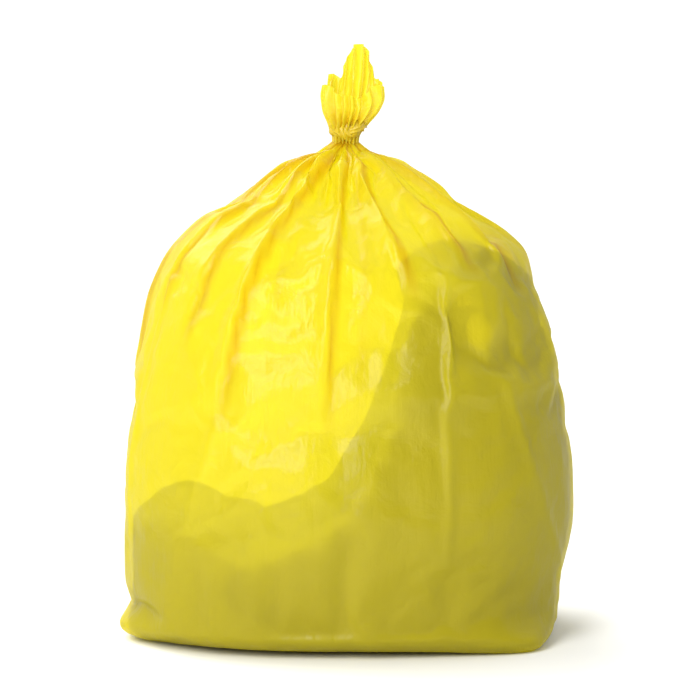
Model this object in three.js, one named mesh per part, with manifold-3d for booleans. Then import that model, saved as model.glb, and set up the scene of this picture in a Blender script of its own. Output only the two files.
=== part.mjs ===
// A bin bag of yellow polythene film, filled with light waste, gathered at the neck and knotted.
// Units are millimetres, +Z is up and the front faces -Y. The origin is on the floor, under the middle.
//
// The film is one piece of blown tube: foot, sides, shoulders, neck and the tuft of spare film above it.
// Its inside stays open all the way, through the narrow neck and out at the mouth of the tuft.
// Inside lie a carton, a tub and a rolled packet, bedded in one plain core that stands for the other waste.

import * as THREE from "three";
import { mergeVertices } from "three/addons/utils/BufferGeometryUtils.js";
import Module from "manifold-3d";

const wasm = await Module();
wasm.setup();

// Film. The real film is about 0.04 mm thick: the wall here is the thinnest that is useful as a solid.
const FILM_WALL = 1.6;
const CLEARANCE = 0.5; // between the film and what it holds, and between the pieces of waste

// The side of the bag as seen from the front: half widths, each a rise above the one before.
const FOOT_HALF_WIDTH = 236;
const FOOT_ROUNDING = 22;
const BELLY_HALF_WIDTH = 248;
const BELLY_RISE = 128;
const CHEST_HALF_WIDTH = 229;
const CHEST_RISE = 156;
const SHOULDER_HALF_WIDTH = 193;
const SHOULDER_RISE = 104;
const SLOPE_HALF_WIDTH = 112;
const SLOPE_RISE = 70;
const NECK_RADIUS = 13;
const NECK_RISE = 62;
const NECK_SHIFT = -5; // the neck stands a little to the left of the belly
const SAG_SHIFT = -8; // so does the film just above the foot, where it sags
const SAG_HEIGHT = 50;
const SAG_REACH = 55; // above and below

const BELLY_HEIGHT = FOOT_ROUNDING + BELLY_RISE;
const CHEST_HEIGHT = BELLY_HEIGHT + CHEST_RISE;
const SHOULDER_HEIGHT = CHEST_HEIGHT + SHOULDER_RISE;
const SLOPE_HEIGHT = SHOULDER_HEIGHT + SLOPE_RISE;
const NECK_HEIGHT = SLOPE_HEIGHT + NECK_RISE;

// The bag from above: flatter from front to back than from side to side, with soft corners.
const BELLY_HALF_DEPTH = 214;
const CORNER_SQUARENESS = 2.6; // exponent of a superellipse, where 2 is an ellipse

// Folds that the knot pulls, from the neck out over the shoulders: [direction at the neck, direction at
// its end, how far below the neck it ends, how far it stands up, half width]. Directions are in degrees:
// 0 faces the front and 90 faces right.
const FOLDS = [
  [-2, -8, 307, 14, 10],
  [10, 20, 167, 15, 10],
  [-22, -39, 307, 17, 12],
  [-36, -52, 212, 10, 12],
  [-58, -66, 182, 11, 13],
  [34, 42, 142, 11, 10],
  [52, 60, 162, 10, 11],
  [78, 84, 192, 10, 13],
  [-88, -94, 292, 10, 14],
  [112, 118, 242, 13, 12],
  [141, 136, 272, 12, 12],
  [168, 174, 322, 14, 11],
  [-164, -157, 242, 13, 12],
  [-136, -129, 282, 12, 12],
  [-112, -112, 212, 10, 12],
];
const FOLD_SWING = 0.8; // exponent: below 1 a fold turns to its end direction early
const FOLD_SHARPNESS = 1.3; // exponent of the fold's section: 2 is a soft bell, 1 a sharp crest
const FOLD_NARROWING = 0.35; // share of its half width that a fold has at the neck
const FOLD_WIDENING = 0.9; // what it gains on the way to its end
const FOLD_FADE_START = 0.55; // share of its length after which it dies away
const FOLD_FULL_RADIUS = 70; // the folds rise to their full height between the neck and here
const GATHER_RADIUS = 80; // inside this radius the pleats crowd together and the wall grows thick
const GATHER_DROP = 14; // below the neck: from here up the gathered film is kept off the middle
const NECK_BORE = 3; // what is left open between the gathered folds

// The two ends of the bottom seal stick out as ears, in these directions.
const EARS = [-72, 52];
const EAR_FULL_HEIGHT = 12; // up to here an ear stands out fully
const EAR_END_HEIGHT = 48;
const EAR_REACH = 20;
const EAR_HALF_ANGLE = 15;

// The knot, and the tuft of spare film above it: radii and rises above the neck.
const KNOT_RADIUS = 21;
const KNOT_RISE = 12;
const COLLAR_RADIUS = 20;
const COLLAR_RISE = 24;
const TUFT_RADIUS = 35;
const TUFT_RISE = 42;
const MOUTH_RADIUS = 36;
const MOUTH_RISE = 58;
const TUFT_SHIFT = 8; // the tuft leans to the right
const TUFT_PLEATS = 19;
const TUFT_PLEAT_SHARE = 0.24; // pleat depth as a share of the radius, where the film is bunched
const VALLEY_BREADTH = 0.8; // exponent: below 1 the valleys are broad and the crests sharp

// The lobes of the tuft: [direction in degrees, rise of the tip above the neck, half angle].
const LOBES = [
  [-64, 58, 32],
  [0, 52, 24],
  [62, 58, 32],
  [116, 64, 22],
  [166, 103, 36],
  [-126, 62, 26],
];
const DIP_RISE = 40; // of the mouth's edge between two lobes
const DIP_RADIUS_SHARE = 0.62; // how far in the film folds between two lobes

// The waste. Its top is low on the left, with a round hump, and climbs to the right shoulder.
const HEAP_TOP = [
  [-260, 124],
  [-196, 150],
  [-120, 112],
  [-60, 128],
  [-10, 168],
  [40, 290],
  [72, 404],
  [130, 428],
  [190, 404],
  [260, 330],
];

// The heap is made of round lumps, such as small filled bags and balls of paper, on a loose grid. Between
// them are valleys, which go down to a closed middle.
const LUMP_RADIUS = 74;
const LUMP_SPACING = 112;
const LUMP_LOOSENESS = 0.3; // how far a lump lies off the grid, as a share of the spacing
const VALLEY_DEPTH = 18;
const LUMP_STEPS = 10; // flat faces round a lump

// The middles of the three shaped pieces are placed from the belly's front, left and right.
const CARTON_SIZE = [150, 96, 210];
const CARTON_BEHIND_FRONT = 102;
const CARTON_RIGHT = 54;
const CARTON_HEIGHT = 160;
const CARTON_PLACE = [CARTON_RIGHT, CARTON_BEHIND_FRONT - BELLY_HALF_DEPTH, CARTON_HEIGHT];
const CARTON_TILT = 30; // degrees, leaning to the right
const TUB_RADIUS = 46;
const TUB_BASE_RADIUS = 36;
const TUB_LENGTH = 84;
const TUB_BEHIND_FRONT = 130;
const TUB_FROM_RIGHT = 144;
const TUB_HEIGHT = 378;
const TUB_PLACE = [BELLY_HALF_WIDTH - TUB_FROM_RIGHT, TUB_BEHIND_FRONT - BELLY_HALF_DEPTH, TUB_HEIGHT];
const TUB_TILT = 52; // its mouth looks up and to the back, its base down and to the front
const TUB_SWING = 24;
const PACKET_RADIUS = 44;
const PACKET_LENGTH = 150;
const PACKET_BEHIND_FRONT = 134;
const PACKET_FROM_LEFT = 98;
const PACKET_HEIGHT = 118;
const PACKET_PLACE = [
  PACKET_FROM_LEFT - BELLY_HALF_WIDTH,
  PACKET_BEHIND_FRONT - BELLY_HALF_DEPTH,
  PACKET_HEIGHT,
];
const PACKET_TILT = 62;
const PACKET_NOD = 14;

// How finely the round shapes are cut into flat faces.
const ROUND_STEPS = 108;
const SIDE_STEPS = 17;
const TUFT_STEPS = 6;
const FOOT_STEPS = 3;
const FOOT_RINGS = [0, 0.4, 0.75, 1];
const HEAP_STEPS = 6;
const TUB_STEPS = 36;
const PACKET_STEPS = 24;

const radians = THREE.MathUtils.degToRad;
const ease = THREE.MathUtils.smoothstep;

// Difference between two directions in degrees, from -180 to 180.
function turn(from, to) {
  return ((((to - from) % 360) + 540) % 360) - 180;
}

function bell(value, halfWidth) {
  return Math.exp(-((value / halfWidth) ** 2));
}

// As the bell, with a broad top.
function hump(value, halfWidth) {
  return Math.exp(-((value / halfWidth) ** 4));
}

// A smooth line through [radius, height] points, as evenly spaced stations.
function smoothLine(points, steps) {
  const corners = points.map(([r, z]) => new THREE.Vector3(r, z, 0));
  return new THREE.CatmullRomCurve3(corners, false, "centripetal").getSpacedPoints(steps);
}

// The outline of the bag from the middle of its foot to the neck, as [radius, height] stations.
function bodyStations() {
  const flat = FOOT_RINGS.map((share) => [share * (FOOT_HALF_WIDTH - FOOT_ROUNDING), 0]);
  const rounded = [];
  for (let i = 1; i < FOOT_STEPS; i++) {
    const angle = (i / FOOT_STEPS) * (Math.PI / 2);
    rounded.push([
      FOOT_HALF_WIDTH - FOOT_ROUNDING * (1 - Math.sin(angle)),
      FOOT_ROUNDING * (1 - Math.cos(angle)),
    ]);
  }
  const side = smoothLine(
    [
      [FOOT_HALF_WIDTH, FOOT_ROUNDING],
      [BELLY_HALF_WIDTH, BELLY_HEIGHT],
      [CHEST_HALF_WIDTH, CHEST_HEIGHT],
      [SHOULDER_HALF_WIDTH, SHOULDER_HEIGHT],
      [SLOPE_HALF_WIDTH, SLOPE_HEIGHT],
      [NECK_RADIUS, NECK_HEIGHT],
    ],
    SIDE_STEPS,
  );
  return [...flat, ...rounded, ...side.map((p) => [p.x, p.y])];
}

// The outline of the knot and the tuft, from just above the neck to the mouth's edge.
function tuftStations() {
  const line = smoothLine(
    [
      [NECK_RADIUS, NECK_HEIGHT],
      [KNOT_RADIUS, NECK_HEIGHT + KNOT_RISE],
      [COLLAR_RADIUS, NECK_HEIGHT + COLLAR_RISE],
      [TUFT_RADIUS, NECK_HEIGHT + TUFT_RISE],
      [MOUTH_RADIUS, NECK_HEIGHT + MOUTH_RISE],
    ],
    TUFT_STEPS,
  );
  return line.slice(1).map((p) => [p.x, p.y]);
}

// Each station with the direction in which its surface faces, in the upright plane.
function withNormals(stations) {
  return stations.map(([r, z], i) => {
    const [r0, z0] = stations[Math.max(i - 1, 0)];
    const [r1, z1] = stations[Math.min(i + 1, stations.length - 1)];
    const length = Math.hypot(r1 - r0, z1 - z0);
    const onAxis = r === 0;
    return {
      r,
      z,
      normalR: onAxis ? 0 : (z1 - z0) / length,
      normalZ: onAxis ? -1 : -(r1 - r0) / length,
    };
  });
}

// How far the folds lift the film, for one direction and station.
function foldLift(direction, r, z) {
  const lifts = FOLDS.map(([start, end, drop, lift, halfWidth]) => {
    const share = Math.min(Math.max(NECK_HEIGHT - z, 0) / drop, 1);
    const middle = THREE.MathUtils.lerp(start, end, share ** FOLD_SWING);
    const aside = Math.abs(radians(turn(middle, direction))) * r;
    const width = halfWidth * (FOLD_NARROWING + FOLD_WIDENING * share);
    const fade = (1 - ease(share, FOLD_FADE_START, 1)) * ease(r, NECK_RADIUS, FOLD_FULL_RADIUS);
    return lift * fade * Math.exp(-((aside / width) ** FOLD_SHARPNESS));
  });
  return lifts.reduce((total, lift) => total + lift, 0);
}

// How deep the film lies between the crests of the tuft's pleats.
function pleatDip(direction, r, z) {
  const valley = Math.abs(Math.sin((radians(direction) * TUFT_PLEATS) / 2)) ** VALLEY_BREADTH;
  return valley * TUFT_PLEAT_SHARE * r * ease(z, NECK_HEIGHT, NECK_HEIGHT + KNOT_RISE);
}

// How far the ears stand out of the foot.
function earReach(direction, z) {
  const low = 1 - ease(z, EAR_FULL_HEIGHT, EAR_END_HEIGHT);
  const near = EARS.map((at) => bell(turn(at, direction), EAR_HALF_ANGLE));
  return EAR_REACH * low * Math.max(...near);
}

// How far a direction lies inside a lobe of the tuft (1 at its middle, 0 between two lobes), and where
// the mouth's edge is there.
function lobeAt(direction) {
  const lobes = LOBES.map(([at, rise, halfAngle]) => {
    return { rise, share: hump(turn(at, direction), halfAngle) };
  });
  const best = lobes.reduce((a, b) => (b.share > a.share ? b : a));
  return { share: best.share, rise: THREE.MathUtils.lerp(DIP_RISE, best.rise, best.share) };
}

// The tuft's own part of a point: its radius is drawn in between the lobes, and its height follows them.
function tuftPlace(direction, radius, height) {
  const lobe = lobeAt(direction);
  const rise = height - NECK_HEIGHT;
  const folded = ease(rise, KNOT_RISE, TUFT_RISE);
  const drawnIn = THREE.MathUtils.lerp(DIP_RADIUS_SHARE, 1, lobe.share);
  const stretch = THREE.MathUtils.lerp(1, lobe.rise / MOUTH_RISE, ease(rise, 0, MOUTH_RISE));
  return {
    radius: radius * THREE.MathUtils.lerp(1, drawnIn, folded),
    height: NECK_HEIGHT + rise * stretch,
  };
}

// The half width of the section in a direction, as a share of the station's radius: an ellipse with soft
// corners over the body, a circle at the neck.
function sectionShare(direction, r) {
  const neckness = 1 - ease(r, NECK_RADIUS, SLOPE_HALF_WIDTH);
  const depthShare = THREE.MathUtils.lerp(BELLY_HALF_DEPTH / BELLY_HALF_WIDTH, 1, neckness);
  const squareness = THREE.MathUtils.lerp(CORNER_SQUARENESS, 2, neckness);
  const across = Math.abs(Math.sin(radians(direction)));
  const along = Math.abs(Math.cos(radians(direction))) / depthShare;
  return (across ** squareness + along ** squareness) ** (-1 / squareness);
}

// A point of the film's skin, some way in from its outer face.
function skinPoint(direction, station, inset) {
  const { r, z, normalR, normalZ } = station;
  const shrink = inset + pleatDip(direction, r, z) - foldLift(direction, r, z);
  const inNeck = z > NECK_HEIGHT - GATHER_DROP && r < GATHER_RADIUS;
  const ear = r > FOOT_HALF_WIDTH - FOOT_ROUNDING ? earReach(direction, z) : 0;
  const full = r * sectionShare(direction, r) + ear - shrink * normalR;
  const kept = r === 0 ? 0 : Math.max(full, inNeck && inset > 0 ? NECK_BORE : 1);
  const height = z - shrink * normalZ;
  const place = z > NECK_HEIGHT ? tuftPlace(direction, kept, height) : { radius: kept, height };
  const lean = NECK_SHIFT * ease(z, 0, NECK_HEIGHT) + SAG_SHIFT * bell(z - SAG_HEIGHT, SAG_REACH);
  const tuftLean = TUFT_SHIFT * ease(z, NECK_HEIGHT, NECK_HEIGHT + TUFT_RISE);
  return new THREE.Vector3(
    place.radius * Math.sin(radians(direction)) + lean + tuftLean,
    -place.radius * Math.cos(radians(direction)),
    place.height,
  );
}

// A lathe turned from rows of stations, with each vertex then moved to its place on the skin.
function turnedSkin(rows) {
  const profile = rows.map(({ station }) => new THREE.Vector2(station.r, station.z));
  const geometry = new THREE.LatheGeometry(profile, ROUND_STEPS);
  const position = geometry.getAttribute("position");
  for (let i = 0; i < position.count; i++) {
    const { station, inset } = rows[i % rows.length];
    const step = Math.floor(i / rows.length) % ROUND_STEPS;
    const p = skinPoint((step * 360) / ROUND_STEPS - 180, station, inset);
    position.setXYZ(i, p.x, p.y, p.z);
  }
  return geometry;
}

// How thick the film counts as: the gathered pleats lie on each other near the neck.
function wallAt(station) {
  const crowding = Math.max(1, GATHER_RADIUS / Math.max(station.r, NECK_RADIUS));
  const opened = ease(station.z, NECK_HEIGHT + KNOT_RISE, NECK_HEIGHT + TUFT_RISE);
  const wall = THREE.MathUtils.lerp(FILM_WALL * crowding, FILM_WALL, opened);
  return station.z < SLOPE_HEIGHT ? FILM_WALL : wall;
}

function filmGeometry() {
  const stations = withNormals([...bodyStations(), ...tuftStations()]);
  const outside = stations.map((station) => ({ station, inset: 0 }));
  const inside = stations.map((station) => ({ station, inset: wallAt(station) })).reverse();
  return turnedSkin([...outside, ...inside]);
}

function solidOf(geometry) {
  const bare = geometry.clone();
  bare.deleteAttribute("normal");
  bare.deleteAttribute("uv");
  const merged = mergeVertices(bare, 1e-3);
  return new wasm.Manifold(
    new wasm.Mesh({
      numProp: 3,
      vertProperties: new Float32Array(merged.getAttribute("position").array),
      triVerts: new Uint32Array(merged.index.array),
    }),
  );
}

function geometryOf(solid) {
  const mesh = solid.getMesh();
  const geometry = new THREE.BufferGeometry();
  geometry.setAttribute("position", new THREE.BufferAttribute(mesh.vertProperties, 3));
  geometry.setIndex(new THREE.BufferAttribute(mesh.triVerts, 1));
  geometry.computeVertexNormals();
  return geometry;
}

// The space inside the film, less the clearance, closed off below the neck. Its rows run downwards, as
// those of the film's inner face do, so that both are cut into the same flat faces. That leaves the faces
// pointing inwards, and they are turned round.
function insideSolid(inset) {
  const stations = withNormals(bodyStations()).filter(({ r, z }) => r > GATHER_RADIUS || z < BELLY_HEIGHT);
  const lid = { r: 0, z: stations[stations.length - 1].z, normalR: 0, normalZ: 1 };
  const rows = [...stations, lid].map((station) => ({ station, inset })).reverse();
  const geometry = turnedSkin(rows);
  const corners = geometry.getIndex();
  for (let i = 0; i < corners.count; i += 3) {
    const second = corners.getX(i + 1);
    corners.setX(i + 1, corners.getX(i + 2));
    corners.setX(i + 2, second);
  }
  return solidOf(geometry);
}

function boxGeometry(grow) {
  const [width, depth, height] = CARTON_SIZE.map((side) => side + 2 * grow);
  return new THREE.BoxGeometry(width, depth, height)
    .rotateY(radians(CARTON_TILT))
    .translate(...CARTON_PLACE);
}

function tubGeometry(grow) {
  const length = TUB_LENGTH + 2 * grow;
  return new THREE.CylinderGeometry(TUB_RADIUS + grow, TUB_BASE_RADIUS + grow, length, TUB_STEPS)
    .rotateX(radians(TUB_TILT))
    .rotateZ(radians(TUB_SWING))
    .translate(...TUB_PLACE);
}

function packetGeometry(grow) {
  const straight = PACKET_LENGTH - 2 * PACKET_RADIUS;
  return new THREE.CapsuleGeometry(PACKET_RADIUS + grow, straight, PACKET_STEPS / 4, PACKET_STEPS)
    .rotateZ(radians(PACKET_TILT))
    .rotateX(radians(PACKET_NOD))
    .translate(...PACKET_PLACE);
}

// Everything below the top of the heap, from front to back.
function heapPrism(lowered) {
  const [first, last] = [HEAP_TOP[0], HEAP_TOP[HEAP_TOP.length - 1]];
  const outline = new THREE.Shape();
  outline.moveTo(first[0], -FOOT_ROUNDING);
  outline.lineTo(...first);
  outline.splineThru(HEAP_TOP.slice(1).map(([x, z]) => new THREE.Vector2(x, z)));
  outline.lineTo(last[0], -FOOT_ROUNDING);
  const depth = 4 * BELLY_HALF_DEPTH;
  return new THREE.ExtrudeGeometry(outline, { depth, bevelEnabled: false, curveSegments: HEAP_STEPS })
    .rotateX(Math.PI / 2)
    .translate(0, depth / 2, -lowered);
}

// Balls on a loose grid that fills the bag. The same seeds give the same places each time.
function lumps() {
  const grid = (from, to) => {
    const count = Math.ceil((to - from) / LUMP_SPACING) + 1;
    return Array.from({ length: count }, (_, i) => from + (i * (to - from)) / (count - 1));
  };
  const off = (seed) => (THREE.MathUtils.seededRandom(seed) - 0.5) * 2 * LUMP_LOOSENESS * LUMP_SPACING;
  const balls = [];
  for (const x of grid(-BELLY_HALF_WIDTH, BELLY_HALF_WIDTH)) {
    for (const y of grid(-BELLY_HALF_DEPTH, BELLY_HALF_DEPTH)) {
      for (const z of grid(0, SHOULDER_HEIGHT)) {
        const seed = 3 * balls.length + 1;
        const ball = new THREE.SphereGeometry(LUMP_RADIUS, LUMP_STEPS, LUMP_STEPS / 2);
        balls.push(solidOf(ball.translate(x + off(seed), y + off(seed + 1), z + off(seed + 2))));
      }
    }
  }
  return wasm.Manifold.union(balls);
}

// The lumps inside the film and below the heap's top, grown together with the closed middle.
function heap(inside) {
  const middle = insideSolid(FILM_WALL + CLEARANCE + VALLEY_DEPTH);
  const lumpy = inside.intersect(solidOf(heapPrism(0))).intersect(lumps());
  return lumpy.add(middle.intersect(solidOf(heapPrism(VALLEY_DEPTH))));
}

function largestPart(solid) {
  return solid.decompose().reduce((a, b) => (b.volume() > a.volume() ? b : a));
}

function film() {
  return { name: "bag_film", solid: solidOf(filmGeometry()), color: 0xf5e02a, roughness: 0.3 };
}

// The three pieces of waste that show through the film, and the core they are bedded in.
function waste() {
  const inside = insideSolid(FILM_WALL + CLEARANCE);
  const shapes = [
    ["waste_carton", boxGeometry, 0xb08a5a, 0.85],
    ["waste_tub", tubGeometry, 0xd9d4c4, 0.5],
    ["waste_packet", packetGeometry, 0x9a9484, 0.7],
  ];
  let core = heap(inside);
  const pieces = [];
  for (const [name, shape, color, roughness] of shapes) {
    core = core.subtract(solidOf(shape(CLEARANCE)));
    let solid = inside.intersect(solidOf(shape(0)));
    for (const earlier of pieces) solid = solid.subtract(earlier.room);
    pieces.push({ name, solid, room: solidOf(shape(CLEARANCE)), color, roughness });
  }
  return [{ name: "waste_core", solid: largestPart(core), color: 0x8c8670, roughness: 0.9 }, ...pieces];
}

function meshOf({ name, solid, color, roughness }) {
  const material = new THREE.MeshStandardMaterial({ color, roughness, metalness: 0 });
  const mesh = new THREE.Mesh(geometryOf(solid), material);
  mesh.name = name;
  return mesh;
}

const bag = new THREE.Group();
for (const piece of [film(), ...waste()]) bag.add(meshOf(piece));

// The origin goes to the middle of the bag's footprint, on the floor.
const extent = new THREE.Box3().setFromObject(bag);
const middle = extent.getCenter(new THREE.Vector3());
bag.position.set(-middle.x, -middle.y, -extent.min.z);

export default bag;
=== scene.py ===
# %% [markdown]
# # A filled bin bag of yellow polythene film
# The object is one bag of very thin blown film, stuffed with light waste, gathered at the neck and
# knotted in its own film. Three things make it look real: film that is pulled into folds by the knot,
# light that comes through the film, and the shapes of the waste that show where they touch it.

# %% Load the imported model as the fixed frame
import math
import random

import bpy
import numpy as np
from mathutils import Matrix, Vector, noise
from mathutils.bvhtree import BVHTree


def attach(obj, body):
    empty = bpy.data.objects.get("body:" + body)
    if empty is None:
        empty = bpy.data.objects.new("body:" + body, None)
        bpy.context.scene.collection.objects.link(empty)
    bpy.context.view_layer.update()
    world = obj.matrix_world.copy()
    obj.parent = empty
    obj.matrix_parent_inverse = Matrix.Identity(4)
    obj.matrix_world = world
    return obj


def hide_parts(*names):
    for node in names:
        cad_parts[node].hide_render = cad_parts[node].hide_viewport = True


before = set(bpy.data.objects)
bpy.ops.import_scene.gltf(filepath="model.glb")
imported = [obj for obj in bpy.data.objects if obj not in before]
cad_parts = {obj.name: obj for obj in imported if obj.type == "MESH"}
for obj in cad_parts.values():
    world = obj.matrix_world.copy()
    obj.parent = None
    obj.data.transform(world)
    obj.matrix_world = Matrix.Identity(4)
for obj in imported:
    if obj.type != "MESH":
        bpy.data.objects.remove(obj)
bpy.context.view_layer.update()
bpy.ops.object.select_all(action="DESELECT")

# %% [markdown]
# ## Camera and floor
# The photograph was taken from a little above the floor through a long lens: the bag's foot shows as a
# very flat curve. The camera stands 3 m away, and its height puts the foot's front edge where the
# photograph has it. The floor is a plain pale sheet that runs far out on all sides.

# %% Place the camera
CAMERA_DISTANCE = 3.0
CAMERA_ELEVATION = math.radians(4.5)
PHOTO_MM_PER_PIXEL = 500 / 449
PHOTO_SIDE = 700
PHOTO_FLOOR_ROW = 629.3  # the row on which the middle of the bag's footprint lies
SENSOR = 0.036

view_height = PHOTO_SIDE * PHOTO_MM_PER_PIXEL / 1000
look_at = Vector((0.0, 0.0, (PHOTO_FLOOR_ROW - PHOTO_SIDE / 2) * PHOTO_MM_PER_PIXEL / 1000))
back = Vector((0.0, -math.cos(CAMERA_ELEVATION), math.sin(CAMERA_ELEVATION)))

bpy.ops.object.camera_add(location=look_at + back * CAMERA_DISTANCE)
camera = bpy.context.object
camera.name = "camera"
camera.rotation_euler = (math.pi / 2 - CAMERA_ELEVATION, 0.0, 0.0)
camera.data.lens = SENSOR * 1000 * CAMERA_DISTANCE / view_height
bpy.context.scene.camera = camera
print("lens", round(camera.data.lens, 1), "mm")

# %% Lay the floor
FLOOR_SIDE = 60.0

bpy.ops.mesh.primitive_plane_add(size=FLOOR_SIDE)
floor = bpy.context.object
floor.name = "floor"

# %% [markdown]
# ## The shape of the film
# A filled bag is a loft: a row of closed sections, from the middle of the foot up to the neck. Each
# section is a superellipse, an ellipse with soft corners, because the waste pushes the film out towards
# the corners of the flat sack. The same sizes as in the construction model are used, in metres.

# %% The outline of the bag from the foot to the neck
FOOT_HALF_WIDTH = 0.236
FOOT_ROUNDING = 0.022
BELLY_HALF_WIDTH, BELLY_HEIGHT = 0.248, 0.150
CHEST_HALF_WIDTH, CHEST_HEIGHT = 0.229, 0.306
SHOULDER_HALF_WIDTH, SHOULDER_HEIGHT = 0.193, 0.410
SLOPE_HALF_WIDTH, SLOPE_HEIGHT = 0.112, 0.480
NECK_RADIUS, NECK_HEIGHT = 0.013, 0.542
NECK_SHIFT = -0.005
SAG_SHIFT, SAG_HEIGHT, SAG_REACH = -0.008, 0.050, 0.055  # just above the foot the film sags to the left
BELLY_HALF_DEPTH = 0.214
CORNER_SQUARENESS = 2.6


def ease(value, start, end):
    t = np.clip((np.asarray(value, float) - start) / (end - start), 0.0, 1.0)
    return t * t * (3 - 2 * t)


def smooth_line(points, count):
    """Evenly spaced points on a smooth line through the given [radius, height] points."""
    p = np.array(points, float)
    steps = np.linalg.norm(np.diff(p, axis=0), axis=1) ** 0.5
    knots = np.concatenate([[0], np.cumsum(steps)])
    slopes = np.gradient(p, knots, axis=0)
    fine = np.linspace(0, knots[-1], 2000)
    at = np.clip(np.searchsorted(knots, fine, side="right") - 1, 0, len(p) - 2)
    span = (knots[at + 1] - knots[at])[:, None]
    t = (fine[:, None] - knots[at][:, None]) / span
    line = (
        (2 * t**3 - 3 * t**2 + 1) * p[at]
        + (t**3 - 2 * t**2 + t) * span * slopes[at]
        + (3 * t**2 - 2 * t**3) * p[at + 1]
        + (t**3 - t**2) * span * slopes[at + 1]
    )
    length = np.concatenate([[0], np.cumsum(np.linalg.norm(np.diff(line, axis=0), axis=1))])
    even = np.linspace(0, length[-1], count)
    return np.column_stack([np.interp(even, length, line[:, k]) for k in (0, 1)])


def bag_outline(foot_rings, side_rings):
    """Stations [radius, height] from the middle of the foot to the neck."""
    flat = [(share * (FOOT_HALF_WIDTH - FOOT_ROUNDING), 0.0) for share in foot_rings]
    round_edge = [
        (
            FOOT_HALF_WIDTH - FOOT_ROUNDING * (1 - math.sin(angle)),
            FOOT_ROUNDING * (1 - math.cos(angle)),
        )
        for angle in np.linspace(0, math.pi / 2, 7)[1:-1]
    ]
    side = smooth_line(
        [
            (FOOT_HALF_WIDTH, FOOT_ROUNDING),
            (BELLY_HALF_WIDTH, BELLY_HEIGHT),
            (CHEST_HALF_WIDTH, CHEST_HEIGHT),
            (SHOULDER_HALF_WIDTH, SHOULDER_HEIGHT),
            (SLOPE_HALF_WIDTH, SLOPE_HEIGHT),
            (NECK_RADIUS, NECK_HEIGHT),
        ],
        side_rings,
    )
    return np.array([*flat, *round_edge, *side.tolist()])


def section(direction, radius):
    """The share of the radius at which the film lies, for directions in radians (0 is the front)."""
    neckness = 1 - ease(radius, NECK_RADIUS, SLOPE_HALF_WIDTH)
    depth_share = BELLY_HALF_DEPTH / BELLY_HALF_WIDTH * (1 - neckness) + neckness
    squareness = CORNER_SQUARENESS * (1 - neckness) + 2 * neckness
    across = np.abs(np.sin(direction))
    along = np.abs(np.cos(direction)) / depth_share
    return (across**squareness + along**squareness) ** (-1 / squareness)


ROUND_STEPS = 224
SIDE_RINGS = 88
FOOT_RINGS = (0.03, 0.2, 0.4, 0.6, 0.75, 0.88, 1.0)

outline = bag_outline(FOOT_RINGS, SIDE_RINGS)
directions = np.arange(ROUND_STEPS) / ROUND_STEPS * 2 * math.pi - math.pi
print("film grid", len(outline), "rings of", ROUND_STEPS)

# %% [markdown]
# ## The folds that the knot pulls
# The knot draws a tube of film 1.47 m round down to the width of a thumb. The spare width has to go
# somewhere, and it stands up in folds that start at the knot and run out over the shoulders. The deepest
# ones are placed where the photograph shows them, and a row of shallow ones fills the gaps.

# %% Main folds: each a line down the bag, in degrees from the front, with its height and width
MAIN_FOLDS = [
    # (direction at the neck, direction at its end, height of its end, how far it stands up, half width)
    (-2, -8, 0.235, 0.014, 0.010),
    (10, 20, 0.375, 0.015, 0.010),
    (-22, -39, 0.235, 0.017, 0.012),
    (-36, -52, 0.330, 0.010, 0.012),
    (-58, -66, 0.360, 0.011, 0.013),
    (34, 42, 0.400, 0.011, 0.010),
    (52, 60, 0.380, 0.010, 0.011),
    (78, 84, 0.350, 0.010, 0.013),
    (-88, -94, 0.250, 0.010, 0.014),
    (112, 118, 0.300, 0.013, 0.012),
    (141, 136, 0.270, 0.012, 0.012),
    (168, 174, 0.220, 0.014, 0.011),
    (-164, -157, 0.300, 0.013, 0.012),
    (-136, -129, 0.260, 0.012, 0.012),
    (-112, -112, 0.330, 0.010, 0.012),
]


FOLD_SWING = 0.8  # exponent: below 1 a fold turns to its end direction early
FOLD_SHARPNESS = 1.3  # exponent of the section: 2 is a soft bell, 1 a sharp crest
FOLD_NARROWING, FOLD_WIDENING = 0.35, 0.9  # share of the half width at the neck, and what it gains
FOLD_FADE_START = 0.55  # share of the length after which a fold dies away
FOLD_FULL_RADIUS = 0.07  # the folds rise to their full height between the neck and here


def turn(direction, other):
    """The angle from one direction to another, from -pi to pi."""
    return (direction - other + math.pi) % (2 * math.pi) - math.pi


def fold_place(fold, direction, radius, height):
    """How far along a fold each point lies, and how many half widths to its right."""
    start, end, low, _, half_width = fold
    share = np.clip((NECK_HEIGHT - height) / (NECK_HEIGHT - low), 0, None)
    line = math.radians(start) + math.radians(end - start) * np.clip(share, 0, 1.2) ** FOLD_SWING
    width = half_width * (FOLD_NARROWING + FOLD_WIDENING * np.clip(share, 0, 1))
    return share, turn(direction, line) * radius / width


def fold_rise(direction, radius, height):
    """How far the main folds lift the film at each point of the grid."""
    rise = np.zeros(np.broadcast(direction, radius).shape)
    for fold in MAIN_FOLDS:
        share, aside = fold_place(fold, direction, radius, height)
        fade = (1 - ease(share, FOLD_FADE_START, 1.0)) * ease(radius, NECK_RADIUS, FOLD_FULL_RADIUS)
        rise += fold[3] * np.exp(-(np.abs(aside) ** FOLD_SHARPNESS)) * fade
    return rise


print("main folds", len(MAIN_FOLDS))

# %% [markdown]
# A fold that stands up falls over to one side, where the film lies double and lies in its shade. This shade
# is painted: a darker golden strip runs down beside the bright crest. The material reads how strong the
# painted shade is from a value that is kept at each point.

# %% The strip of painted shade on the right of each main fold
STRIP_ASIDE, STRIP_HALF_WIDTH = 0.75, 0.5  # in half widths of the fold
STRIP_FADE = (0.7, 1.05)  # shares of the fold's length between which the strip ends


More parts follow.
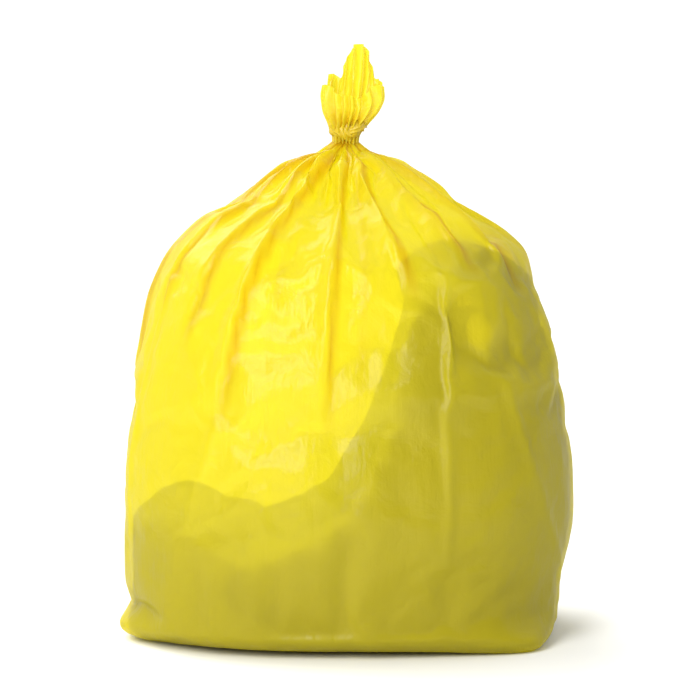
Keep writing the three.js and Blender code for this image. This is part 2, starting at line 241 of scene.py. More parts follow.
def painted_shade_and_layers(direction, radius, height):
    """From 0 to 1: how strong the painted shade beside the folds is."""
    strip = np.zeros(np.broadcast(direction, radius).shape)
    for fold in MAIN_FOLDS:
        share, aside = fold_place(fold, direction, radius, height)
        across = np.exp(-(((aside - STRIP_ASIDE) / STRIP_HALF_WIDTH) ** 2))
        strip = np.maximum(strip, across * (1 - ease(share, *STRIP_FADE)))
    return strip


# %% [markdown]
# Between the main folds a row of shallow pleats crowds round the knot. They are uneven, as gathered film
# is, and they run out on the slope, where the film has room again.

# %% The shallow pleats round the knot
GATHERS = 31
GATHER_DEPTH = 0.0045
GATHER_END = 0.15  # radius at which they have run out


def gather_rise(direction, radius, height):
    """The row of shallow pleats, which crowd at the neck and fade out on the slope."""
    wander = 0.9 * np.sin(3 * direction + 1.0) + 0.6 * np.sin(7 * direction)
    wave = 1 - np.abs(np.sin(0.5 * GATHERS * direction + wander + 1.5 * height)) ** 0.8 * 2
    fade = ease(radius, NECK_RADIUS, 0.035) * (1 - ease(radius, 0.05, GATHER_END))
    return GATHER_DEPTH * wave * fade


# %% [markdown]
# Lower down the waste presses the film out, and what is left over stands in a few long sharp creases.

# %% Creases lower down, each through points of (direction in degrees, height)
CREASES = [
    [(45, 0.294), (50, 0.211), (56, 0.144), (75, 0.044)],
    [(32, 0.400), (28, 0.250), (27, 0.100)],
    [(-37, 0.244), (-44, 0.138)],
    [(-62, 0.390), (-66, 0.250), (-70, 0.120)],
    [(100, 0.330), (108, 0.200), (104, 0.080)],
    [(150, 0.300), (160, 0.150)],
    [(-150, 0.310), (-140, 0.170)],
    [(-100, 0.300), (-92, 0.150), (-96, 0.060)],
]
CREASE_LIFT, CREASE_HALF_WIDTH = 0.0032, 0.008
CREASE_ROUND = 0.24  # radius by which a direction is turned into a length


def crease_rise(direction, height):
    """How far the creases lift the film: most on their lines, which are straight from point to point."""
    rise = np.zeros(np.broadcast(direction, height).shape)
    for crease in CREASES:
        for (from_turn, from_height), (to_turn, to_height) in zip(crease, crease[1:]):
            start = np.array([math.radians(from_turn) * CREASE_ROUND, from_height])
            run = np.array([math.radians(to_turn) * CREASE_ROUND, to_height]) - start
            aside = direction * CREASE_ROUND - start[0]
            above = height - start[1]
            share = np.clip((aside * run[0] + above * run[1]) / run.dot(run), 0, 1)
            away = np.hypot(aside - share * run[0], above - share * run[1])
            rise = np.maximum(rise, CREASE_LIFT * np.exp(-((away / CREASE_HALF_WIDTH) ** 1.4)))
    return rise


print("creases", len(CREASES))

# %% [markdown]
# ## The foot and its ears
# A flat sack has a straight seal across its bottom. Once it is full, the two ends of that seal are left
# over and stick out as soft ears. Between them the edge of the foot is pulled up a little from the floor.

# %% Ears, and the lifted edge between them
EARS = ((-72, 0.021, 12), (52, 0.023, 13))  # direction in degrees, how far it stands out, half angle
EAR_FULL_HEIGHT, EAR_END_HEIGHT = 0.010, 0.042
FOOT_LIFT = 0.006


def ear_reach(direction, height):
    low = 1 - ease(height, EAR_FULL_HEIGHT, EAR_END_HEIGHT)
    reach = 0.0
    for at, out, half_angle in EARS:
        aside = turn(direction, math.radians(at)) / math.radians(half_angle)
        reach = np.maximum(reach, out * np.exp(-(np.abs(aside) ** 1.6)))
    return reach * low


def foot_lift(direction, radius, height):
    """How far the edge of the foot is lifted: not at the ears, and nowhere high up the side."""
    ears = sum(np.exp(-((turn(direction, math.radians(at)) / 0.35) ** 2)) for at, _, _ in EARS)
    share = ease(radius, 0.6 * FOOT_HALF_WIDTH, FOOT_HALF_WIDTH - FOOT_ROUNDING)
    return FOOT_LIFT * share * (1 - np.clip(ears, 0, 1)) * (1 - ease(height, 0.0, 0.08))


# %% [markdown]
# ## From the loft to film
# The loft's points are laid out ring by ring and joined into four-sided faces, with one point in the
# middle of the foot to close it. A little unevenness is added, because a perfectly even shape has no
# reason to fold in one place rather than another.

# %% Lay out the points of the loft
random.seed(11)
UNEVENNESS = 0.0016


def ring_normals(stations):
    step = np.gradient(stations, axis=0)
    length = np.linalg.norm(step, axis=1)
    return np.column_stack([step[:, 1], -step[:, 0]]) / length[:, None]


def unevenness(direction, height):
    """A sum of slanting waves round the bag, between -1 and 1."""
    total = np.zeros(np.broadcast(direction, height).shape)
    for _ in range(16):
        count, slant = random.randint(7, 36), random.uniform(-14, 14)
        total = total + np.sin(count * direction + slant * height + random.uniform(0, 6.28))
    return total / 6


def loft_points(stations, angles):
    """The grid of points, ring by ring."""
    radius, height = stations[:, :1], stations[:, 1:]
    normal = ring_normals(stations)
    angle = angles[None, :]
    rise = fold_rise(angle, radius, height) + gather_rise(angle, radius, height)
    rise = rise + crease_rise(angle, height)
    rise = rise + UNEVENNESS * unevenness(angle, height) * ease(height, 0.0, 0.02)
    ear = np.where(radius > FOOT_HALF_WIDTH - FOOT_ROUNDING, ear_reach(angle, height), 0.0)
    wide = radius * section(angle, radius) + ear + rise * normal[:, :1]
    upward = height + rise * normal[:, 1:] + foot_lift(angle, radius, height)
    lean = NECK_SHIFT * ease(height, 0, NECK_HEIGHT)
    lean = lean + SAG_SHIFT * np.exp(-(((height - SAG_HEIGHT) / SAG_REACH) ** 2))
    return np.stack([wide * np.sin(angle) + lean, -wide * np.cos(angle), upward + 0 * wide], axis=-1)


def grid_faces(rings, around):
    faces = []
    for j in range(rings - 1):
        for i in range(around):
            k = (i + 1) % around
            faces.append((j * around + i, j * around + k, (j + 1) * around + k, (j + 1) * around + i))
    return faces


def film_object(name, points, faces):
    mesh = bpy.data.meshes.new(name)
    mesh.from_pydata(points.tolist(), [], faces)
    obj = bpy.data.objects.new(name, mesh)
    bpy.context.collection.objects.link(obj)
    return obj


def mark_shade_and_layers(obj, shade_and_layers):
    """Keeps a darkening value at each point for the material to read: painted shade on the body and tuft,
    bunched film on the knot.
    """
    made = obj.data.attributes.new("painted_shade_and_layers", "FLOAT", "POINT")
    made.data.foreach_set("value", np.asarray(shade_and_layers, np.float32))


rings = len(outline)
body_points = np.vstack([loft_points(outline, directions).reshape(-1, 3), [[0.0, 0.0, 0.0]]])
body_faces = grid_faces(rings, ROUND_STEPS)
foot_middle = rings * ROUND_STEPS
body_faces += [(foot_middle, (i + 1) % ROUND_STEPS, i) for i in range(ROUND_STEPS)]
film = film_object("film_body", body_points, body_faces)
# the painted shade beside the main folds, one value for each point of the body
shade_and_layers = painted_shade_and_layers(directions[None, :], outline[:, :1], outline[:, 1:]).ravel()
mark_shade_and_layers(film, np.append(shade_and_layers, 0.0))
print("film faces", len(body_faces))

# %% [markdown]
# ## Let the film buckle: a cloth simulation
# Film this thin can hardly bend or stretch, so where there is too much of it, it buckles. The simulation
# gives every edge a few per cent more length than it has room for, holds the neck and the foot still,
# and ties each other point loosely to its place in the loft. The spare film then throws up the soft
# facets and sharp creases of a real bag, and the whole still keeps its shape. No gravity is needed,
# because the waste and the air inside carry the film.

# %% Run the simulation and keep its result
def buckle(obj, held, spare, growth, frames, tie, bending, pressure=0.0):
    """Lets a film object buckle. held and spare are one weight from 0 to 1 for each point."""
    snug = np.round(1 - spare, 2)
    placed = np.empty(len(obj.data.vertices) * 3, np.float32)
    obj.data.vertices.foreach_get("co", placed)
    groups = {}
    for name, weights in (("held", held), ("snug", snug)):
        groups[name] = obj.vertex_groups.new(name=name)
        for value in np.unique(weights):
            at = np.nonzero(weights == value)[0].tolist()
            groups[name].add(at, float(value), "REPLACE")
    cloth = obj.modifiers.new("film", "CLOTH")
    settings = cloth.settings
    settings.quality = 5
    settings.mass = 0.05
    settings.tension_stiffness = settings.compression_stiffness = 30
    settings.shear_stiffness = 10
    settings.bending_stiffness = bending
    settings.vertex_group_mass = "held"
    settings.pin_stiffness = tie
    settings.vertex_group_shrink = "snug"
    settings.shrink_max, settings.shrink_min = 0.0, -growth
    settings.use_pressure = pressure > 0
    settings.uniform_pressure_force = pressure
    settings.effector_weights.gravity = 0.0
    cloth.collision_settings.use_collision = False
    cloth.point_cache.frame_start, cloth.point_cache.frame_end = 1, frames
    for number in range(1, frames + 1):
        bpy.context.scene.frame_set(number)
    done = obj.evaluated_get(bpy.context.evaluated_depsgraph_get()).to_mesh()
    moved = np.empty_like(placed)
    done.vertices.foreach_get("co", moved)
    obj.modifiers.remove(cloth)
    obj.vertex_groups.clear()
    bpy.context.scene.frame_set(1)
    return placed.reshape(-1, 3), moved.reshape(-1, 3)


def broad_part(step, around, reach):
    """The part of the steps that neighbours share: an average over reach grid points each way."""
    window = np.hanning(2 * reach + 3)[1:-1]
    window /= window.sum()
    grid = step[: len(step) // around * around].reshape(-1, around, 3)
    ringed = np.concatenate([grid[:, -reach:], grid, grid[:, :reach]], axis=1)
    ringed = sum(w * ringed[:, k : k + around] for k, w in enumerate(window))
    padded = np.pad(ringed, ((reach, reach), (0, 0), (0, 0)), mode="edge")
    soft = sum(w * padded[k : k + len(grid)] for k, w in enumerate(window))
    return np.vstack([soft.reshape(-1, 3), np.zeros((len(step) % around, 3))])


def keep_moved(obj, placed, moved, cap, around, reach, calm):
    """Puts the simulated points in the mesh, less most of the swelling that neighbours share."""
    step = moved - placed
    step = step - calm * broad_part(step, around, reach)
    far = np.linalg.norm(step, axis=1, keepdims=True)
    step = step * np.minimum(1, cap / np.maximum(far, 1e-9))
    obj.data.vertices.foreach_set("co", (placed + step).astype(np.float32).ravel())
    obj.data.update()
    print(obj.name, "moved by", round(far.mean() * 1000, 1), "mm on average")


BODY_FRAMES, TUFT_FRAMES = 18, 16
BODY_GROWTH, TUFT_GROWTH = 0.08, 0.10  # how much longer every edge wants to be
BODY_CAP = 0.016
BODY_REACH = 14  # grid points, about a hand's breadth

ring_height = np.repeat(outline[:, 1], ROUND_STEPS)
body_held = np.where((ring_height > NECK_HEIGHT - 0.006) | (ring_height < 0.0005), 1.0, 0.1)
body_spare = 0.35 + 0.65 * ease(ring_height, 0.20, 0.36)
body_spare = body_spare * (1 - 0.75 * ease(ring_height, 0.43, 0.525)) * ease(ring_height, 0.0, 0.05)
body_held = np.append(body_held, 1.0)
body_spare = np.append(np.round(body_spare, 2), 0.0)
placed, moved = buckle(
    film, body_held, body_spare, BODY_GROWTH, BODY_FRAMES, tie=1.0, bending=0.3, pressure=0.3
)
keep_moved(film, placed, moved, BODY_CAP, ROUND_STEPS, BODY_REACH, calm=1.0)

# %% [markdown]
# ## The tuft
# Above the knot the spare film fans out again, like the top of a sweet wrapper. It is the same tube, so
# it starts as narrow as the neck, opens into a few petals, and its cut edge is ruffled. It is lofted and
# buckled as the body is, with much more spare film.

# %% Loft the tuft
TUFT_STEPS = 200
TUFT_RINGS = 46
TUFT_OUTLINE = [
    # (radius, rise above the neck)
    (0.0125, -0.006),
    (0.0135, 0.008),
    (0.0200, 0.020),
    (0.0300, 0.034),
    (0.0350, 0.048),
    (0.0345, 0.062),
]
TUFT_SHIFT = 0.008
PETALS = [
    # (direction in degrees, rise of its tip, half angle, how far it leans out)
    (-70, 0.062, 36, 1.00),
    (-12, 0.050, 26, 0.80),
    (58, 0.061, 34, 1.04),
    (112, 0.068, 30, 0.90),
    (168, 0.106, 52, 0.92),
    (-126, 0.074, 32, 0.90),
]
PETAL_DIP = 0.044
TUFT_PLEATS = 19


def petal_at(direction):
    """For each direction: how deep inside a petal it is, the rise of the edge, and how far it leans out."""
    best = np.zeros_like(direction)
    rise = np.full_like(direction, PETAL_DIP)
    out = np.full_like(direction, 0.62)
    for at, tip, half_angle, lean in PETALS:
        share = np.exp(-((np.abs(turn(direction, math.radians(at))) / math.radians(half_angle)) ** 2.6))
        rise = np.maximum(rise, PETAL_DIP + (tip - PETAL_DIP) * share)
        out = np.maximum(out, 0.62 + (lean - 0.62) * share)
        best = np.maximum(best, share)
    return best, rise, out


def tuft_points():
    line = smooth_line(TUFT_OUTLINE, TUFT_RINGS)
    angle = (np.arange(TUFT_STEPS) / TUFT_STEPS * 2 * math.pi - math.pi)[None, :]
    radius, rise = line[:, :1], line[:, 1:]
    inside, edge, out = petal_at(angle)
    full = TUFT_OUTLINE[-1][1]
    stretch = 1 + (edge / full - 1) * ease(rise, 0.005, full)
    open_share = ease(rise, 0.012, 0.045)
    pleat = np.sin(TUFT_PLEATS * angle + 1.2 * np.sin(3 * angle) + 40 * rise)
    wide = radius * (1 + (out - 1) * open_share) * (1 + (0.20 - 0.12 * open_share) * pleat)
    shift = NECK_SHIFT + TUFT_SHIFT * ease(rise, 0.0, 0.05)
    height = NECK_HEIGHT + rise * stretch
    # painted shade: the film is darkened in the pleat valleys, most low down where the tuft is still narrow
    shade_and_layers = np.clip(0.5 - 0.5 * pleat, 0, 1) * (0.95 - 0.6 * open_share)
    return np.stack([wide * np.sin(angle) + shift, -wide * np.cos(angle), height], axis=-1), line, shade_and_layers


tuft_grid, tuft_line, tuft_painted_shade = tuft_points()
tuft = film_object("film_tuft", tuft_grid.reshape(-1, 3), grid_faces(TUFT_RINGS, TUFT_STEPS))
mark_shade_and_layers(tuft, tuft_painted_shade.ravel())
tuft_rise = np.repeat(tuft_line[:, 1], TUFT_STEPS)
tuft_held = np.where(tuft_rise < 0.012, 1.0, 0.04)
tuft_spare = np.round(0.15 + 0.85 * ease(tuft_rise, 0.015, 0.06), 2)
TUFT_CAP = 0.008
TUFT_REACH = 12  # grid points
placed, moved = buckle(
    tuft, tuft_held, tuft_spare, TUFT_GROWTH, TUFT_FRAMES, tie=1.0, bending=0.02
)
keep_moved(tuft, placed, moved, TUFT_CAP, TUFT_STEPS, TUFT_REACH, calm=0.6)

for piece in (film, tuft):
    for face in piece.data.polygons:
        face.use_smooth = True
    smooth = piece.modifiers.new("smooth", "SUBSURF")
    smooth.levels = smooth.render_levels = 1

# %% [markdown]
# ## The knot
# The gathered film is tied in an overhand knot. From outside it shows as a fat twisted band that lies
# slantwise round the neck, with a second loop that comes out from under it on the right. Both are
# modelled as bent tubes whose skin is grooved, because a bunched film is a bundle of pleats.

# %% Make the two bands of the knot
KNOT_AROUND, KNOT_ACROSS = 160, 40
KNOT_BANDS = [
    # (radius of the loop, half thickness, half height, tilt in degrees, middle, lobe's direction, lobe)
    (0.0105, 0.0072, 0.0125, 16, (-0.006, 0.000, 0.557), 30, 0.20),
    (0.0095, 0.0068, 0.0085, -52, (0.003, -0.003, 0.556), 70, 0.50),
]
KNOT_GROOVES = 9
KNOT_LAYERS = 0.45  # how dark the bunched film is, as a share of doubled film


def knot_points(loop, thick, high, tilt, middle, lobe_at, lobe):
    around = (np.arange(KNOT_AROUND) / KNOT_AROUND * 2 * math.pi)[:, None]
    across = (np.arange(KNOT_ACROSS) / KNOT_ACROSS * 2 * math.pi)[None, :]
    swell = 1 + lobe * np.exp(-((turn(around, math.radians(lobe_at)) / 0.7) ** 2))
    twist = across + 1.3 * np.sin(around + 0.6)
    groove = 1 - 0.22 * np.abs(np.sin(0.5 * KNOT_GROOVES * twist + 0.7 * np.sin(5 * around))) ** 0.7
    out = loop * (1 + 0.08 * np.sin(3 * around)) + thick * swell * groove * np.cos(across)
    up = high * swell * groove * np.sin(across)
    points = np.stack([out * np.sin(around), -out * np.cos(around), up + 0 * out], axis=-1).reshape(-1, 3)
    turned = np.array(Matrix.Rotation(math.radians(tilt), 3, "Y"))
    return points @ turned.T + np.array(middle)


def ring_faces(around, across):
    """The faces of a closed tube of around rings, each of across points."""
    faces = []
    for i in range(around):
        for j in range(across):
            k, m = (i + 1) % around, (j + 1) % across
            faces.append((i * across + j, k * across + j, k * across + m, i * across + m))
    return faces


knots = []
for number, band in enumerate(KNOT_BANDS, start=1):
    knot = film_object(f"film_knot_{number}", knot_points(*band), ring_faces(KNOT_AROUND, KNOT_ACROSS))
    for face in knot.data.polygons:
        face.use_smooth = True
    mark_shade_and_layers(knot, np.full(KNOT_AROUND * KNOT_ACROSS, KNOT_LAYERS))
    knots.append(knot)
print("knot bands", len(knots))

# %% [markdown]
# ## The waste
# The waste is only seen through the film, so its outline and its lightness matter more than its detail.
# A heap of crumpled stuff fills the bottom and climbs to the right shoulder. A carton leans against the
# front, an empty tub lies on top at the right, and a rolled packet makes the lump low on the left.
# Each piece starts in the room that its solid has, and is pressed back where the film comes in.

# %% Helpers that copy a solid, use a modifier up, and move points
def select_only(obj):
    bpy.ops.object.select_all(action="DESELECT")
    obj.select_set(True)
    bpy.context.view_layer.objects.active = obj


def use_modifier(obj, kind, **settings):
    made = obj.modifiers.new(kind.lower(), kind)
    for name, value in settings.items():
        setattr(made, name, value)
    select_only(obj)
    bpy.ops.object.modifier_apply(modifier=made.name)


def merged_copy(node, name):
    """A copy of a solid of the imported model, with its loose triangles joined."""
    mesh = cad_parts[node].data.copy()
    mesh.materials.clear()
    copy = bpy.data.objects.new(name, mesh)
    bpy.context.collection.objects.link(copy)
    select_only(copy)
    bpy.ops.object.mode_set(mode="EDIT")
    bpy.ops.mesh.select_all(action="SELECT")
    bpy.ops.mesh.remove_doubles(threshold=0.00002)
    bpy.ops.object.mode_set(mode="OBJECT")
    return copy


def move_points(obj, place):
    """Moves each vertex to the place that place(position, normal) gives."""
    moved = [place(v.co.copy(), v.normal.copy()) for v in obj.data.vertices]
    for vertex, position in zip(obj.data.vertices, moved):
        vertex.co = position
    obj.data.update()


film_surface = BVHTree.FromPolygons(
    [v.co.copy() for v in film.data.vertices],
    [tuple(face.vertices) for face in film.data.polygons],
)


def keep_inside(obj, gap):
    """Presses an object back where it comes closer to the film than the gap."""

    def place(position, normal):
        for _ in range(3):
            near, outward, _, _ = film_surface.find_nearest(position)
            if (position - near).dot(outward) > -gap:
                position = near - outward * gap
        return position

    move_points(obj, place)


# %% The heap: the lumps of its solid, crumpled
HEAP_VOXEL = 0.0065
CRUMPLE_SIZE = 0.022
CRUMPLE_DEPTH = 0.006
HEAP_GAP = 0.0035  # between the heap and the film


def crumple_depth(position):
    return 0.0015 + CRUMPLE_DEPTH * abs(noise.noise(position / CRUMPLE_SIZE))


heap = merged_copy("waste_core", "waste_heap")
use_modifier(heap, "REMESH", mode="VOXEL", voxel_size=HEAP_VOXEL)
use_modifier(heap, "SMOOTH", factor=0.5, iterations=6)
move_points(heap, lambda position, normal: position - normal * crumple_depth(position))
keep_inside(heap, HEAP_GAP)
print("heap faces", len(heap.data.polygons))

# %% The carton: a box with flaps, bent in at its corners
CARTON_SIZE = (0.148, 0.094, 0.208)
CARTON_PLACE = (0.054, -0.112, 0.160)
CARTON_TILT = math.radians(30)
CARTON_GAP = PACKET_GAP = 0.0022

bpy.ops.mesh.primitive_cube_add(size=1)
carton = bpy.context.object
carton.name = "waste_carton_board"
select_only(carton)
bpy.ops.object.mode_set(mode="EDIT")
bpy.ops.mesh.select_all(action="SELECT")
bpy.ops.transform.resize(value=CARTON_SIZE)
bpy.ops.mesh.subdivide(number_cuts=9)
bpy.ops.object.mode_set(mode="OBJECT")


def carton_place(position, normal):
    """Grooves where the flaps meet, soft dents, and then the leaning place of the box."""
    x, y, z = position
    across_lid = math.exp(-((y / 0.002) ** 2)) if abs(z) > 0.5 * CARTON_SIZE[2] - 1e-4 else 0.0
    dent = 0.004 * noise.noise(position * 14) + 0.0015 * noise.noise(position * 45)
    return position + normal * (min(dent, 0.0) - 0.002 * across_lid)


use_modifier(carton, "BEVEL", width=0.0025, segments=2, limit_method="ANGLE")
move_points(carton, carton_place)
use_modifier(carton, "SUBSURF", levels=1, subdivision_type="SIMPLE")
carton.data.transform(Matrix.Translation(CARTON_PLACE) @ Matrix.Rotation(CARTON_TILT, 4, "Y"))
keep_inside(carton, CARTON_GAP)
print("carton faces", len(carton.data.polygons))

# %% The tub: a tapered cup with a rolled rim and a raised ring under its base
TUB_RADIUS, TUB_BASE_RADIUS, TUB_LENGTH = 0.045, 0.035, 0.083
TUB_WALL = 0.0014
TUB_GAP = 0.010
TUB_PLACE = (0.104, -0.084, 0.378)
TUB_TILT, TUB_SWING = math.radians(52), math.radians(24)
TUB_STEPS = 72


def select_faces(obj, wanted):
    """Selects the faces whose middle and normal pass the test, in edit mode."""
    bpy.ops.object.mode_set(mode="OBJECT")
    for face in obj.data.polygons:
        face.select = bool(wanted(face.center, face.normal))
    bpy.ops.object.mode_set(mode="EDIT")
    bpy.ops.mesh.select_mode(type="FACE")


bpy.ops.mesh.primitive_cylinder_add(vertices=TUB_STEPS, radius=TUB_BASE_RADIUS, depth=TUB_LENGTH)
tub = bpy.context.object
tub.name = "waste_tub_cup"
select_only(tub)
half = TUB_LENGTH / 2
select_faces(tub, lambda middle, normal: normal.z > 0.9)
spread = TUB_RADIUS / TUB_BASE_RADIUS
bpy.ops.transform.resize(value=(spread, spread, 1), center_override=(0, 0, half))
bpy.ops.mesh.inset(thickness=TUB_WALL + 0.002)
bpy.ops.mesh.extrude_region_move(TRANSFORM_OT_translate={"value": (0, 0, -0.003)})
bpy.ops.mesh.inset(thickness=TUB_WALL)
bpy.ops.mesh.extrude_region_move(TRANSFORM_OT_translate={"value": (0, 0, 0.006 - TUB_LENGTH)})
narrow = (TUB_BASE_RADIUS - TUB_WALL) / (TUB_RADIUS - 2 * TUB_WALL - 0.002)
bpy.ops.transform.resize(value=(narrow, narrow, 1), center_override=(0, 0, 0))
select_faces(tub, lambda middle, normal: normal.z < -0.9 and middle.z < 0.001 - half)
bpy.ops.mesh.inset(thickness=0.003)
bpy.ops.mesh.inset(thickness=0.0015)
bpy.ops.transform.translate(value=(0, 0, 0.0025))
bpy.ops.object.mode_set(mode="OBJECT")
use_modifier(tub, "BEVEL", width=0.0006, segments=2, limit_method="ANGLE")
use_modifier(tub, "SUBSURF", levels=2, subdivision_type="SIMPLE")
tub_turn = Matrix.Rotation(TUB_SWING, 4, "Z") @ Matrix.Rotation(TUB_TILT - math.pi / 2, 4, "X")
tub.data.transform(Matrix.Translation(TUB_PLACE) @ tub_turn)
keep_inside(tub, TUB_GAP)
print("tub faces", len(tub.data.polygons))

# %% The packet: rolled paper, pressed into creases
PACKET_VOXEL = 0.0035


def crease_depth(position):
    near, second = noise.voronoi(Vector((position.x / 0.03, position.y / 0.018, position.z / 0.018)))[0][:2]
    return 0.001 + 0.007 * (1 - min((second - near) / 0.3, 1.0)) ** 2


packet = merged_copy("waste_packet", "waste_packet_roll")
use_modifier(packet, "REMESH", mode="VOXEL", voxel_size=PACKET_VOXEL)
move_points(packet, lambda position, normal: position - normal * crease_depth(position))
keep_inside(packet, PACKET_GAP)
print("packet faces", len(packet.data.polygons))

# %% [markdown]
# ## Materials
# Each material starts from the real finish. Colours are written as sRGB and turned into linear values by
# one function. One more function adds a shader node with its settings and links.

# %% Helpers for the materials
def srgb(code):
    """A colour like F5E02A as linear red, green, blue and alpha."""
    parts = [int(code[i : i + 2], 16) / 255 for i in (0, 2, 4)]
    return tuple(v / 12.92 if v <= 0.04045 else ((v + 0.055) / 1.055) ** 2.4 for v in parts) + (1.0,)


def new_material(name):
    material = bpy.data.materials.new(name)
    material.use_nodes = True
    material.node_tree.nodes.clear()
    return material, material.node_tree


def add(tree, kind, inputs=None, **settings):
    """Adds a shader node. inputs maps its sockets to values, or to the outputs they are linked to."""
    made = tree.nodes.new(kind)
    for name, value in settings.items():
        setattr(made, name, value)
    for socket, value in (inputs or {}).items():
        if isinstance(value, bpy.types.NodeSocket):
            tree.links.new(value, made.inputs[socket])
        else:
            made.inputs[socket].default_value = value
    return made


# %% Blown polythene film: yellow, thin enough for light and shapes to come through, softly glossy
FILM_COLOUR = srgb("DCCB2E")  # what the surface throws back
FILM_GLOW = srgb("FFFC34")  # light that has come through the film
# FILM_TINT is the colour of what is seen through the film
FILM_TINT = srgb("FFF150")
FILM_SHADE_AND_LAYERS = srgb("D4A80C")  # painted shade beside the folds and in the tuft's pleats, and the deep gold of the knot's bunched film
FILM_ROUGHNESS = 0.29


def film_material(name, glow_share, clear_share):
    """glow_share of the film's light comes through scattered, clear_share unscattered."""
    material, tree = new_material(name)
    place = add(tree, "ShaderNodeTexCoord").outputs["Object"]
    stretched = add(tree, "ShaderNodeMapping", {"Vector": place, "Scale": (1.0, 1.0, 0.12)})
    streak = add(
        tree, "ShaderNodeTexNoise", {"Vector": stretched.outputs[0], "Scale": 170.0, "Detail": 3.0}
    )
    crinkle = add(
        tree, "ShaderNodeTexNoise", {"Vector": place, "Scale": 26.0, "Detail": 5.0, "Distortion": 0.6}
    )
    soft_bump = add(
        tree, "ShaderNodeBump", {"Height": crinkle.outputs[0], "Strength": 1.0, "Distance": 0.0034}
    )
    shade_and_layers = add(tree, "ShaderNodeAttribute", attribute_name="painted_shade_and_layers").outputs["Fac"]
    # painted shade: where the attribute is high, the reflected colour and the glow turn deeper gold; on the
    # knot it stands for bunched film
    skin_colour = add(
        tree, "ShaderNodeMix", {"Factor": shade_and_layers, 6: FILM_COLOUR, 7: FILM_SHADE_AND_LAYERS}, data_type="RGBA"
    )
    glow_colour = add(
        tree, "ShaderNodeMix", {"Factor": shade_and_layers, 6: FILM_GLOW, 7: FILM_SHADE_AND_LAYERS}, data_type="RGBA"
    )
    fine_bump = add(
        tree,
        "ShaderNodeBump",
        {"Height": streak.outputs[0], "Distance": 0.0007, "Normal": soft_bump.outputs[0]},
    )
    skin = {"Base Color": skin_colour.outputs[2], "Roughness": FILM_ROUGHNESS, "IOR": 1.51}
    gloss = add(tree, "ShaderNodeBsdfPrincipled", {**skin, "Normal": fine_bump.outputs[0]})
    glow = add(
        tree, "ShaderNodeBsdfTranslucent", {"Color": glow_colour.outputs[2], "Normal": fine_bump.outputs[0]}
    )
    clear = add(tree, "ShaderNodeBsdfTransparent", {"Color": FILM_TINT})
    body_mix = add(tree, "ShaderNodeMixShader", {0: glow_share, 1: gloss.outputs[0], 2: glow.outputs[0]})
    film_mix = add(
        tree, "ShaderNodeMixShader", {0: clear_share, 1: body_mix.outputs[0], 2: clear.outputs[0]}
    )
    add(tree, "ShaderNodeOutputMaterial", {"Surface": film_mix.outputs[0]})
    return material


film.data.materials.append(film_material("yellow_polythene_film", 0.55, 0.22))
tuft.data.materials.append(film_material("gathered_polythene_film", 0.40, 0.06))
bunched = film_material("bunched_polythene_film", 0.22, 0.0)
for knot in knots:
    knot.data.materials.append(bunched)


# %% The waste: dull mixed wrappings, brown board, pale moulded plastic, creased paper
def dull_material(name, dark, light, scale, roughness):
    """A dull, blotchy surface between two colours, with a fine grain in its roughness and height."""
    material, tree = new_material(name)
    place = add(tree, "ShaderNodeTexCoord")
    patches = add(
        tree, "ShaderNodeTexNoise", {"Vector": place.outputs["Object"], "Scale": scale, "Detail": 4.0}
    )
    colour = add(
        tree,
        "ShaderNodeMix",
        {"Factor": patches.outputs[0], 6: srgb(dark), 7: srgb(light)},
        data_type="RGBA",
    )
    grain = add(
        tree, "ShaderNodeTexNoise", {"Vector": place.outputs["Object"], "Scale": 900.0, "Detail": 2.0}
    )
    bump = add(
        tree, "ShaderNodeBump", {"Height": grain.outputs[0], "Strength": 0.5, "Distance": 0.0003}
    )
    shade = add(
        tree,
        "ShaderNodeBsdfPrincipled",
        {"Base Color": colour.outputs[2], "Roughness": roughness, "Normal": bump.outputs[0]},
    )
    add(tree, "ShaderNodeOutputMaterial", {"Surface": shade.outputs[0]})
    return material


heap.data.materials.append(dull_material("mixed_wrappings", "4A4736", "7E7960", 12.0, 0.8))
carton.data.materials.append(dull_material("brown_board", "2E281A", "443A26", 9.0, 0.85))
tub.data.materials.append(dull_material("pale_moulded_plastic", "B8B2A0", "D6D0C0", 20.0, 0.45))
packet.data.materials.append(dull_material("creased_paper", "8A8470", "A8A28E", 16.0, 0.75))

# %% [markdown]
# ## Light
# The bag stands in a white studio. White light from all round makes the film glow, a large soft box at
# the front left lays a broad sheen over the folds, and a high soft light behind on the left comes through
# the empty left side of the bag. The room is darker in front of the bag, which gives the folds shape.

# %% The floor's paint, the white room and the soft boxes
FLOOR_COLOUR = srgb("F6F6F4")
ROOM_BACK, ROOM_FRONT = 1.15, 0.28  # how bright the room is behind the bag and in front of it

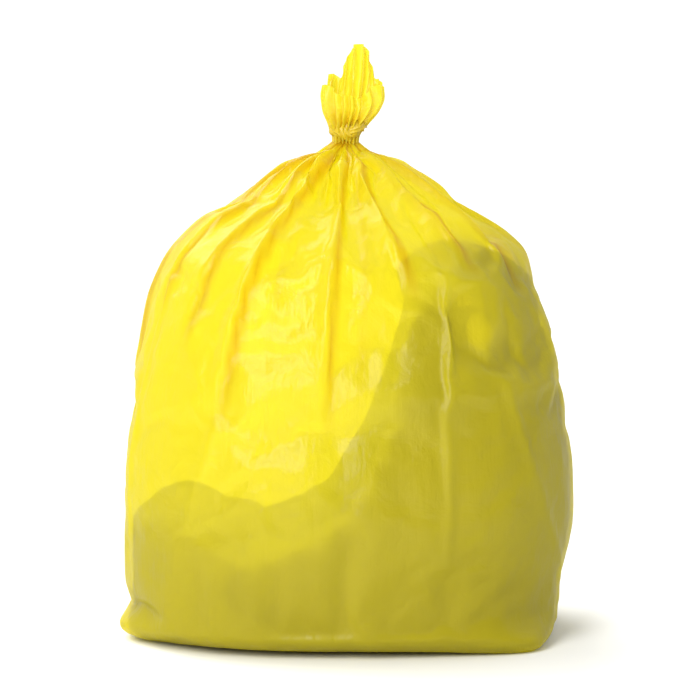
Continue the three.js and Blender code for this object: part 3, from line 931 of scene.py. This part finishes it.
floor_look, tree = new_material("pale_floor")
shade = add(tree, "ShaderNodeBsdfPrincipled", {"Base Color": FLOOR_COLOUR, "Roughness": 0.9})
add(tree, "ShaderNodeOutputMaterial", {"Surface": shade.outputs[0]})
floor.data.materials.append(floor_look)

room = bpy.data.worlds.new("white_room")
bpy.context.scene.world = room
room.use_nodes = True
tree = room.node_tree
tree.nodes.clear()
direction = add(tree, "ShaderNodeTexCoord")
parts = add(tree, "ShaderNodeSeparateXYZ", {"Vector": direction.outputs["Generated"]})
strength = add(
    tree,
    "ShaderNodeMapRange",
    {
        "Value": parts.outputs["Y"],
        "From Min": -0.35,
        "From Max": 0.05,
        "To Min": ROOM_FRONT,
        "To Max": ROOM_BACK,
    },
)
wall = add(tree, "ShaderNodeBackground", {"Strength": strength.outputs[0]})
wall.inputs["Color"].default_value = (1.0, 1.0, 1.0, 1.0)
add(tree, "ShaderNodeOutputWorld", {"Surface": wall.outputs[0]})
bpy.context.scene.view_settings.view_transform = "Standard"


def aim(light, target):
    light.rotation_euler = (Vector(target) - light.location).to_track_quat("-Z", "Y").to_euler()


bpy.ops.object.light_add(type="SUN", location=(-1.2, 1.5, 2.0))
high_light = bpy.context.object
high_light.name = "high_back_left"
high_light.data.energy = 2.3
high_light.data.angle = math.radians(50)
aim(high_light, (0.0, 0.0, 0.0))

bpy.ops.object.light_add(type="AREA", location=(-0.8, -2.0, 1.5))
soft_box = bpy.context.object
soft_box.name = "soft_box_front_left"
soft_box.data.shape = "RECTANGLE"
soft_box.data.size, soft_box.data.size_y = 1.1, 2.2
soft_box.data.energy = 62
aim(soft_box, (0.0, 0.0, 0.35))

# %% [markdown]
# ## Which piece stands for which solid
# Every piece rides on the one body, and replaces the plain solid that it was made from.

# %% Fasten the pieces to the frame
STANDS_FOR = [
    (film, "bag_film"),
    (tuft, "bag_film"),
    *((knot, "bag_film") for knot in knots),
    (heap, "waste_core"),
    (carton, "waste_carton"),
    (tub, "waste_tub"),
    (packet, "waste_packet"),
]
for piece, node in STANDS_FOR:
    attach(piece, "root")
    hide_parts(node)
